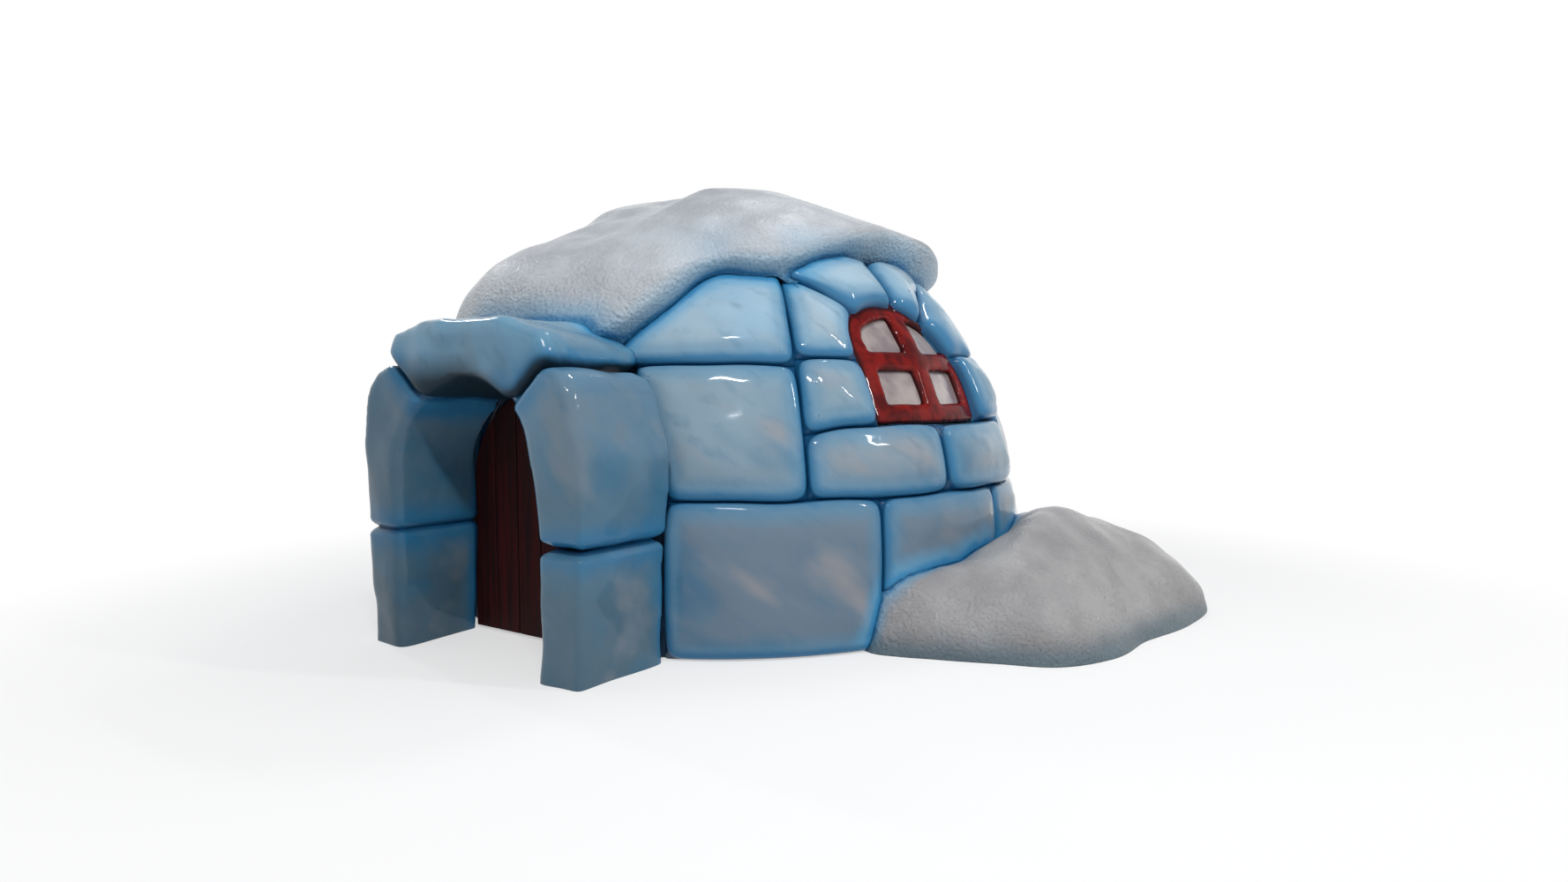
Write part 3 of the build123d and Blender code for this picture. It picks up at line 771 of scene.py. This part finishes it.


# the low, middle and top colours grade from dark to light up the porch, a painted shade and light
porch_paint = block_material("porch block paint", rgb("4b606d"), rgb("567286"), rgb("7096ac"),
                             blue=rgb("356480"), warm=rgb("757a7e"), misty=0.6)
porch = []
seat_out, seat_up = (SEAT[1] - SEAT[0]) / np.hypot(*(SEAT[1] - SEAT[0]))
for name in PORCH:
    if name == "porch_lintel":
        piece = soft_copy(name, PORCH_VOXEL, LINTEL_RUBS, PORCH_PUFF, (taper, lift))
    else:
        piece = soft_copy(name, PORCH_VOXEL, PIER_RUBS, PORCH_PUFF, (lengthen_foot, stand_clear, lift))
    places = read_mesh(piece.data, "co")
    for side, side_name in ((-1, "left"), (1, "right")):
        along = np.array([side * seat_out, 0, seat_up])
        upward = np.array([-side * seat_up, 0, seat_out])
        seat_height = SEAT[:, 1].mean() + LEFT_LIFT * (side < 0)
        seat = np.array([AXIS.x + side * (PASSAGE_HALF + SEAT[:, 0].mean()), 0, seat_height])
        if name.endswith(side_name):
            waist = np.array([AXIS.x + side * (PASSAGE_HALF + PIER_MIDDLE), 0, WAIST])
            facing = 1.0 if "lower" in name else -1.0
            ease(places, waist, np.array([0, 0, facing]), np.array([1.0, 0, 0]), WAIST_ROUND)
            if "upper" in name:
                ease(places, seat, upward, along, SEAT_ROUND)
        if name == "porch_lintel":
            ease(places, seat, -upward, along, SEAT_ROUND)
    move_vertices(piece.data, places)
    make_uneven(piece.data, PORCH_WAVES)
    if "lower" in name:
        block = bmesh.new()
        block.from_mesh(piece.data)
        saw(block, (0, 0, 0), (0, 0, -1))
        block.to_mesh(piece.data)
        block.free()
    shade_smooth(piece.data)
    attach(piece, "shell")
    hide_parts(name)
    wear(piece, porch_paint)
    porch.append(piece)
porch_trees = [surface_of([piece]) for piece in porch]
for place, piece in enumerate(porch):
    others = [distances(piece, tree, 0.2) for other, tree in enumerate(porch_trees) if other != place]
    points, normals = read_mesh(piece.data, "co"), read_mesh(piece.data, "normal")
    azimuth, run = place_on_dome(points)
    to_dome = np.sqrt(((on_dome(azimuth, run, 0) - points) ** 2).sum(1))
    mark(piece, "gap", np.minimum(np.min(others, 0) / 2, to_dome) * 0.75)
    mark(piece, "down", -normals[:, 2])
    # painted shade: under the lintel's arch and on its down-facing faces, and on the left pier's front
    if piece is porch[-1]:
        under = part_way(SHADE_TOP - points[:, 2], 0.13)
        under *= part_way(AXIS.x + SHADE_RIGHT - points[:, 0], 0.12)
        mark(piece, "deep", np.maximum(under, np.clip(-normals[:, 2] * 2, 0, 1)))
    else:
        left = part_way(AXIS.x - 0.25 - points[:, 0], 0.1)
        mark(piece, "deep", LEFT_SHADE * left * np.clip(-normals[:, 1], 0, 1))
blocks += porch

# ---------------------------------------------------------- doorway wall
# The wall round the door, cut back a little behind the blocks and piers
# beside it, and painted a dark blue like the grooves', darker still as painted shade in the recess.
CUT_BACK = 0.055


def cut_back(places):
    """Moves the wall's face back from the dome's, straight into the doorway."""
    radius = np.interp(places[:, 2], rise, reach) - CUT_BACK
    across = places[:, 0] - AXIS.x
    face = AXIS.y - np.sqrt(np.maximum(radius ** 2 - across ** 2, 0))
    places[:, 1] = np.maximum(places[:, 1], face)


recess_shade_paint, shader, paint = material("recess shade paint")
tone = speckle(paint, 9.0, 3.0)
# painted shade: near-black blues
coat = mix(paint, tone.ramp(0.35, 0.7), rgb("0b2a42"), rgb("17456a"))
plug(shader, Base_Color=coat, Roughness=0.5 + tone * 0.3)
for name in ("front_wall_right", "front_wall_left", "door_head", "over_door_block"):
    piece = place_object(name + "_cut_back", nodes[name].data.copy())
    reshape(piece.data, cut_back)
    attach(piece, "shell")
    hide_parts(name)
    wear(piece, recess_shade_paint)

# ------------------------------------------------------------------ snow
# A thick cap of carved snow over the dome, with a fat rounded rim, that
# runs forward over the porch. It is one piece, glued down on the blocks.
UNIT = DOME_RADIUS
CAP_THICK = 0.128
# the rim's lower edge: (azimuth, height over the floor in dome radii)
RIM = [(-180, 1.00), (-150, 1.05), (-120, 0.98), (-95, 1.03), (-70, 0.95), (-50, 0.87),
       (-35, 0.80), (-20, 0.80), (0, 0.80), (12, 0.82), (17, 0.90), (22.3, 0.982),
       (27.5, 1.036), (36, 1.049), (46, 1.048), (51, 1.034), (56, 1.076), (66, 1.113),
       (85, 1.162), (95, 1.158), (101, 1.13), (108, 1.10), (125, 1.07), (150, 1.04)]
# where the cap is thicker or thinner: (middle and half widths in dome radii, metres)
SWELLS = [((0.75, 0.20, 1.17), (0.15, 0.38, 0.14), 0.10),
          ((0.40, 0.20, 1.40), (0.22, 0.35, 0.10), -0.065),
          ((-0.05, -0.10, 1.45), (0.30, 0.40, 0.12), -0.03),
          ((-0.28, -0.19, 1.36), (0.18, 0.40, 0.15), 0.045)]
# the part that runs forward over the porch: its middle, half widths, squareness and blend
NOSE = np.array([-0.148, -0.56, 0.855]) * UNIT
NOSE_HALF = np.array([0.418, 0.44, 0.325]) * UNIT
NOSE_POWER = 2.6
NOSE_BLEND = 0.20
# over the arch stones, whose joints are deep, the snow's foot reaches further in
ARCH_SINK, ARCH_AZIMUTH, ARCH_WIDTH = 0.055, 80, 24
FOOT_SINK, UNDER_SINK = 0.004, 0.012
# the mesh: points round the cap, and rows down its outside, across its lip and under it
AROUND, ROWS, LIP_ROWS, UNDER_ROWS = 300, 110, 15, 12
EVEN_ROWS, CARVED_ROWS, RIM_RUBS = 150, 130, 40
HEART = np.array([0, 0, 0.5 * UNIT])
SNOW_WAVES = ((0.45, 6, 0.018), (0.15, 7, 0.010))
FURROW = (0.22, 3, 0.035)


def round_curve(points, at):
    """A smooth closed curve through (angle, value) points."""
    angles = np.array([p[0] for p in points], float)
    values = np.array([p[1] for p in points], float)
    count = len(points)
    at = (at - angles[0]) % 360 + angles[0]
    place = np.searchsorted(angles, at, "right") - 1
    ends = np.append(angles, angles[0] + 360)
    width = ends[place + 1] - ends[place]
    t = (at - ends[place]) / width
    v = [values[(place + k) % count] for k in (-1, 0, 1, 2)]
    before = ends[place] - np.where(place > 0, angles[place - 1], angles[-1] - 360)
    after = (angles[(place + 2) % count] - ends[place + 1]) % 360
    slope_in = (v[2] - v[0]) / (width + before) * width
    slope_out = (v[3] - v[1]) / (width + after) * width
    return ((2 * t ** 3 - 3 * t ** 2 + 1) * v[1] + (t ** 3 - 2 * t ** 2 + t) * slope_in
            + (-2 * t ** 3 + 3 * t ** 2) * v[2] + (t ** 3 - t ** 2) * slope_out)


def snow_form(p):
    """Below 0 inside the snow's outer form; p is measured from the dome's axis on the floor."""
    high = np.maximum(p[:, 2] - UPRIGHT, 0)
    size = np.sqrt((p[:, 0] ** 2 + p[:, 1] ** 2) / DOME_RADIUS ** 2 + (high / (DOME_HEIGHT - UPRIGHT)) ** 2)
    cap = (size - 1) * DOME_RADIUS - CAP_THICK
    for middle, half, amount in SWELLS:
        cap -= amount * np.exp(-((p / UNIT - middle) ** 2 / np.array(half) ** 2).sum(1))
    nose = ((np.abs((p - NOSE) / NOSE_HALF) ** NOSE_POWER).sum(1) ** (1 / NOSE_POWER) - 1) * NOSE_HALF.min()
    share = np.clip(0.5 + 0.5 * (nose - cap) / NOSE_BLEND, 0, 1)
    return nose * (1 - share) + cap * share - NOSE_BLEND * share * (1 - share)


def strike(start, way):
    """How far from a point inside the snow its outer form lies, along each way."""
    near, far = np.zeros(len(way)), np.full(len(way), 2.5)
    for _ in range(26):
        middle = (near + far) / 2
        outside = snow_form(start + way * middle[:, None]) > 0
        near, far = np.where(outside, near, middle), np.where(outside, middle, far)
    return near


def even_out(rows, count):
    """The same profiles, resampled to even steps."""
    steps = np.sqrt((np.diff(rows, axis=0) ** 2).sum(2))
    along = np.concatenate([np.zeros((1, rows.shape[1])), np.cumsum(steps, 0)])
    made = np.zeros((count, *rows.shape[1:]))
    for i in range(rows.shape[1]):
        marks = np.linspace(0, along[-1, i], count)
        for axis in range(3):
            made[:, i, axis] = np.interp(marks, along[:, i], rows[:, i, axis])
    return made


def revolve(name, rows):
    """A piece of closed rows of points, each joined to the next; the first is a single point."""
    count = rows.shape[1]
    points = [rows[0].mean(0), *rows[1:].reshape(-1, 3)]
    faces = [(0, 1 + (i + 1) % count, 1 + i) for i in range(count)]
    for row in range(rows.shape[0] - 2):
        a = 1 + row * count
        for i in range(count):
            j = (i + 1) % count
            faces.append((a + i, a + j, a + count + j, a + count + i))
    return new_piece(name, points, faces)


azimuth = np.linspace(-pi, pi, AROUND, endpoint=False)
rim = round_curve(RIM, np.degrees(azimuth)) * UNIT
rim_run = np.interp(rim, rise, climb)
sunk = ARCH_SINK * np.exp(-((np.degrees(azimuth) - ARCH_AZIMUTH) / ARCH_WIDTH) ** 4)
foot = on_dome(azimuth, rim_run, -FOOT_SINK - sunk) - np.array(AXIS)
# the rim's lip stands straight out from the dome, and level where the rim is low
lean = np.stack([np.interp(rim_run, climb, lean_out), np.interp(rim_run, climb, lean_up)], 1)
flat_share = part_way(UNIT - rim, 0.1 * UNIT)[:, None]
lean = lean * (1 - flat_share) + np.array([1.0, 0.0]) * flat_share
lean /= np.hypot(*lean.T)[:, None]
way = round_axis(azimuth, *lean.T)
lip = foot + way * strike(foot, way)[:, None]
tilt_end = np.arctan2(lip[:, 2] - HEART[2], np.hypot(lip[:, 0], lip[:, 1]))
rows = []
for row in range(ROWS):
    tilt = pi / 2 + (tilt_end - pi / 2) * row / (ROWS - 1)
    way = round_axis(azimuth, np.cos(tilt), np.sin(tilt))
    rows.append(HEART + way * strike(HEART, way)[:, None])
for step in range(1, LIP_ROWS + 1):
    rows.append(lip + (foot - lip) * step / LIP_ROWS)
rows = even_out(np.array(rows), EVEN_ROWS)
for _ in range(RIM_RUBS):
    rows[1:-1] = (rows[:-2] + 2 * rows[1:-1] + rows[2:]) / 4
    rows[:-1] = (np.roll(rows[:-1], 1, 1) + 2 * rows[:-1] + np.roll(rows[:-1], -1, 1)) / 4
rows = even_out(rows, CARVED_ROWS)
# the underside lies on the blocks and is closed to a ring inside the wall
to_top = climb[-1] - rim_run
under = [on_dome(azimuth, rim_run + to_top * step / UNDER_ROWS, -UNDER_SINK - sunk) - np.array(AXIS)
         for step in range(1, UNDER_ROWS + 1)]
snow_cap = revolve("snow_cap_carved", np.concatenate([rows, under]) + np.array(AXIS))
carved = np.arange(len(snow_cap.data.vertices)) < (CARVED_ROWS - 1) * AROUND
# shallow furrows run from the porch back to the crown
places, normals = read_mesh(snow_cap.data, "co"), read_mesh(snow_cap.data, "normal")
depth = np.array([wander((p[0], p[1] / 5, p[2] / 2), *FURROW) for p in places])
forward = np.clip((AXIS.y - places[:, 1]) / 0.5, 0.15, 1)
move_vertices(snow_cap.data, places + normals * (depth * carved * forward)[:, None])
make_uneven(snow_cap.data, SNOW_WAVES, carved)
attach(snow_cap, "shell")
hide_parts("snow_cap")

snow_paint, shader, paint = material("snow paint")
spot = paint.node("TexCoord", output=3)
height = paint.node("SeparateXYZ", output=2, Vector=spot)
up = paint.node("SeparateXYZ", output=2, Vector=paint.node("NewGeometry", output=1))
gap = marked(paint, "gap")
drifts = paint.node("TexNoise", Vector=spot, Scale=3.2, Detail=4.0, Roughness=0.6)
side_shade_patches = paint.node("TexNoise", Vector=spot, Scale=1.7, Detail=3.0)
grain = paint.node("TexNoise", Vector=spot, Scale=95.0, Detail=3.0, Roughness=0.7)
crust = paint.node("TexVoronoi", {"feature": "SMOOTH_F1"}, Vector=spot, Scale=60.0)
low_side = up.ramp(0.85, 0.15)
coat = mix(paint, drifts.ramp(0.35, 0.65), rgb("b8bec4"), rgb("a6aab0"))
# painted shade: darker greys low down, on the drift
low_shade = height.ramp(1.0, 0.4)
coat = mix(paint, low_shade, coat, mix(paint, drifts.ramp(0.35, 0.65), rgb("a09f9f"), rgb("8e8c8d")))
# painted shade: grey patches on the faces that turn away from the sky
coat = mix(paint, side_shade_patches.ramp(0.50, 0.70) * low_side * 0.6, coat, rgb("93908f"))
# painted light: the rim's underside is lighter, as if lit from below
coat = mix(paint, up.ramp(0.50, -0.35) * height.ramp(0.5, 1.0) * 0.6, coat, rgb("b9cfde"))
# painted shade: the grain's pits are darker, most on the sides
coat = mix(paint, grain.ramp(0.52, 0.36) * (0.2 + low_side * 0.8) * 0.32, coat, rgb("66727c"))
ragged = gap * height.ramp(0.5, 1.0) + gap * height.ramp(1.0, 0.5) * 2.6 + (drifts - 0.5) * 0.05
coat = mix(paint, ragged.ramp(0.15, 0.03) * 0.7, coat, rgb("6a9ab8"))
coat = mix(paint, ragged.ramp(0.05, 0.01), coat, rgb("2a75a3"))
# darker towards the floor
dark_foot = (height + (drifts - 0.5) * 0.12).ramp(0.13, 0.02)
coat = mix(paint, dark_foot * 0.8, coat, rgb("486370"))
rough_share = 0.3 + low_side * 0.7
stipple = (grain + crust.ramp(0.0, 0.7) * 0.6) * rough_share
plug(shader, Base_Color=coat, Normal=paint.node("Bump", Strength=1.0, Distance=0.009, Height=stipple),
     Roughness=0.20 + low_side * 0.10 + drifts * 0.08, Specular_IOR_Level=0.55)
wear(snow_cap, snow_paint)

# ----------------------------------------------------------------- drift
# A low drift of the same snow at the foot of the wall, in two lobes. It is
# one carved piece, painted as the cap is and pushed up against the blocks.
HEAP = np.array([0.97, 0.10]) * UNIT
HEAP_TOP = 0.28 * UNIT
HIDDEN_EDGE = DOME_RADIUS - 0.11
# the drift's edge on the floor, in dome radii from the dome's axis
OUTLINE = [(0.766, -0.448), (0.842, -0.535), (0.932, -0.526), (1.021, -0.496), (1.172, -0.444),
           (1.316, -0.386), (1.412, -0.241), (1.451, -0.002), (1.522, 0.266), (1.512, 0.577),
           (1.38, 0.74), (1.15, 0.74), (0.95, 0.62), (0.80, 0.50), (0.80, 0.2), (0.80, -0.2)]
DRIFT_AROUND, DRIFT_ROWS = 240, 70
DRIFT_WAVES = ((0.4, 8, 0.03), (0.13, 9, 0.012))
# the hump on the outer lobe: its place and half widths in dome radii, and its height
HUMP, HUMP_HALF, HUMP_TOP = (1.13, 0.13), (0.17, 0.3), 0.075 * UNIT


def bump_at(around, middle, width):
    """1 at a middle angle, fading to 0 a couple of widths away."""
    return np.exp(-((around - middle) / width) ** 2)


offsets = np.array(OUTLINE) * UNIT - HEAP
angles = np.degrees(np.arctan2(offsets[:, 1], offsets[:, 0]))
outline = [(angles[i], np.hypot(*offsets[i])) for i in np.argsort(angles)]
around = np.linspace(-180, 180, DRIFT_AROUND, endpoint=False)
edge = round_curve(outline, around)
# the front edge is steeper, and a crease parts the lobes
steepness = 2.9 + 5 * bump_at(around, -112, 22)
crease = 0.26 * bump_at(around, -4, 18)
rows = []
for row in range(DRIFT_ROWS):
    share = sin(row / (DRIFT_ROWS - 1) * pi / 2)
    x = HEAP[0] + edge * share * np.cos(np.radians(around))
    y = HEAP[1] + edge * share * np.sin(np.radians(around))
    top = HEAP_TOP * (1 - share ** steepness) ** 0.6 * (1 - crease * share ** 2)
    hump = np.exp(-((x / UNIT - HUMP[0]) / HUMP_HALF[0]) ** 2 - ((y / UNIT - HUMP[1]) / HUMP_HALF[1]) ** 2)
    top += HUMP_TOP * hump * part_way(top, 0.1 * UNIT)
    from_axis = np.hypot(x, y)
    # it dips beside the wall at the front
    beside_wall = part_way(DOME_RADIUS + 0.22 - from_axis, 0.22) ** 1.5
    top *= 1 - 0.24 * beside_wall * part_way(y + 0.80, 0.35) * part_way(0.40 - y, 0.25)
    within = np.maximum(from_axis, HIDDEN_EDGE) / from_axis
    rows.append(np.stack([x * within, y * within, top], 1))
rows.append(np.array([[DOME_RADIUS, HEAP[1], 0]] * DRIFT_AROUND))
snow_drift = revolve("snow_drift_carved", np.array(rows) + np.array(AXIS))
make_uneven(snow_drift.data, DRIFT_WAVES, part_way(read_mesh(snow_drift.data, "co")[:, 2], 0.05))
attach(snow_drift, "shell")
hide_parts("snow_drift")
wear(snow_drift, snow_paint)

# ---------------------------------------------------------------- window
# One carved frame with its crossing bars, painted glossy red, and four
# opal panes behind it.
FRAME_VOXEL, FRAME_RUBS, FRAME_PUFF = 0.008, 20, 0.009
window = soft_copy("window_frame", FRAME_VOXEL, FRAME_RUBS, FRAME_PUFF)
make_uneven(window.data, ((0.16, 13, 0.006),))
shade_smooth(window.data)
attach(window, "shell")
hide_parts("window_frame")
red_paint, shader, paint = material("red frame paint")
brushed = speckle(paint, 14.0, 4.0)
highlight_streaks = streaks(paint, 0.05, 4.0, 3.0)
coat = mix(paint, brushed.ramp(0.35, 0.65), rgb("78140f"), rgb("4f0c0d"))
# painted highlight: lighter red streaks
coat = mix(paint, highlight_streaks.ramp(0.55, 0.75) * 0.4, coat, rgb("8f2416"))
# painted shade: darker in the frame's hollows and where it meets the blocks and panes
hollow = paint.node("NewGeometry", output=7)
shadowed = paint.math("MAXIMUM", hollow.ramp(0.50, 0.44), marked(paint, "gap").ramp(0.022, 0.008))
coat = mix(paint, shadowed * 0.9, coat, rgb("2c050a"))
plug(shader, Base_Color=coat, Roughness=0.35 + brushed * 0.2, Specular_IOR_Level=0.04,
     Coat_Weight=0.55, Coat_Roughness=0.05, Coat_IOR=1.3)
wear(window, red_paint)

pane_finish, shader, paint = material("opal pane")
smear = speckle(paint, 7.0, 3.0)
coat = mix(paint, smear.ramp(0.35, 0.65), rgb("a59a97"), rgb("84777a"))
waves = paint.node("Bump", Strength=0.8, Distance=0.012, Height=speckle(paint, 11.0, 1.0))
plug(shader, Base_Color=coat, Normal=waves, Roughness=0.12 + smear * 0.15, Coat_Weight=1,
     Coat_Roughness=0.03)
wear(nodes["window_panes"], pane_finish)

# ------------------------------------------------------------------ door
# An arched door of upright planks, painted a near-black red. Two ledges
# across its inner side hold the planks together, and it hangs on iron
# straps whose knuckles turn on pins in brackets on the doorway's left.
BOARDS = 6
BOARD_GAP = 0.005
BOARD_BEVEL = 0.004
SHARP = radians(40)

door_paint, shader, paint = material("door boards")
spot = paint.node("TexCoord", output=3)
grain_way = paint.node("Mapping", Vector=spot, Scale=(38.0, 38.0, 1.6))
grain = paint.node("TexNoise", Vector=grain_way, Scale=1.0, Detail=5.0, Roughness=0.65)
patch = paint.node("TexNoise", Vector=spot, Scale=2.6, Detail=2.0)
coat = mix(paint, grain.ramp(0.38, 0.66), rgb("1b0405"), rgb("3a0a0c"))
coat = mix(paint, patch.ramp(0.4, 0.7) * 0.5, coat, rgb("12080a"))
plug(shader, Base_Color=coat, Normal=paint.node("Bump", Strength=0.6, Distance=0.002, Height=grain),
     Roughness=0.55 + grain * 0.25, Specular_IOR_Level=0.15)

low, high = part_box("door_leaf")
width = (high.x - low.x) / BOARDS
boards = bmesh.new()
for board in range(BOARDS):
    plank = bmesh.new()
    plank.from_mesh(nodes["door_leaf"].data)
    bmesh.ops.remove_doubles(plank, verts=plank.verts, dist=0.0001)
    left, right = low.x + board * width, low.x + (board + 1) * width
    if board:
        saw(plank, (left + BOARD_GAP / 2, 0, 0), (-1, 0, 0))
    if board < BOARDS - 1:
        saw(plank, (right - BOARD_GAP / 2, 0, 0), (1, 0, 0))
    bmesh.ops.dissolve_limit(plank, angle_limit=radians(2), verts=plank.verts, edges=plank.edges)
    sharp = [edge for edge in plank.edges if len(edge.link_faces) == 2 and edge.calc_face_angle() > SHARP]
    bmesh.ops.bevel(plank, geom=sharp, offset=BOARD_BEVEL, segments=2, affect="EDGES", profile=0.5)
    part = bpy.data.meshes.new("plank")
    plank.to_mesh(part)
    boards.from_mesh(part)
    plank.free()
leaf_mesh = bpy.data.meshes.new("door_boards")
boards.to_mesh(leaf_mesh)
boards.free()
leaf = place_object("door_boards", leaf_mesh)
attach(leaf, "door")
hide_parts("door_leaf")
wear(leaf, door_paint)
wear(nodes["door_ledges"], door_paint)

iron, shader, paint = material("dark iron")
blotch = speckle(paint, 30.0, 4.0)
coat = mix(paint, blotch.ramp(0.4, 0.65), rgb("34363a"), rgb("1d1c1d"))
plug(shader, Base_Color=coat, Roughness=0.4 + blotch * 0.3, Metallic=0.8)
for name in ("door_straps", "hinge_brackets"):
    wear(nodes[name], iron)

# -------------------------------------------------------------- airbrush
# Once everything is in place the painter sprays dark blue where the
# blocks meet the snow, and along the snow's own lower edge.
SPRAY_REACH = 0.3
snow_surface = surface_of([snow_cap, snow_drift])
for block in blocks:
    mark(block, "snow", distances(block, snow_surface, SPRAY_REACH))
block_surface = surface_of(blocks)
for piece in (snow_cap, snow_drift):
    mark(piece, "gap", distances(piece, block_surface, SPRAY_REACH))
# the frame's painted shade reads how near it is to the blocks and panes
pane_surface = surface_of([nodes["window_panes"]])
to_blocks, to_panes = [distances(window, surface, SPRAY_REACH) for surface in (block_surface, pane_surface)]
mark(window, "gap", np.minimum(to_blocks, to_panes))
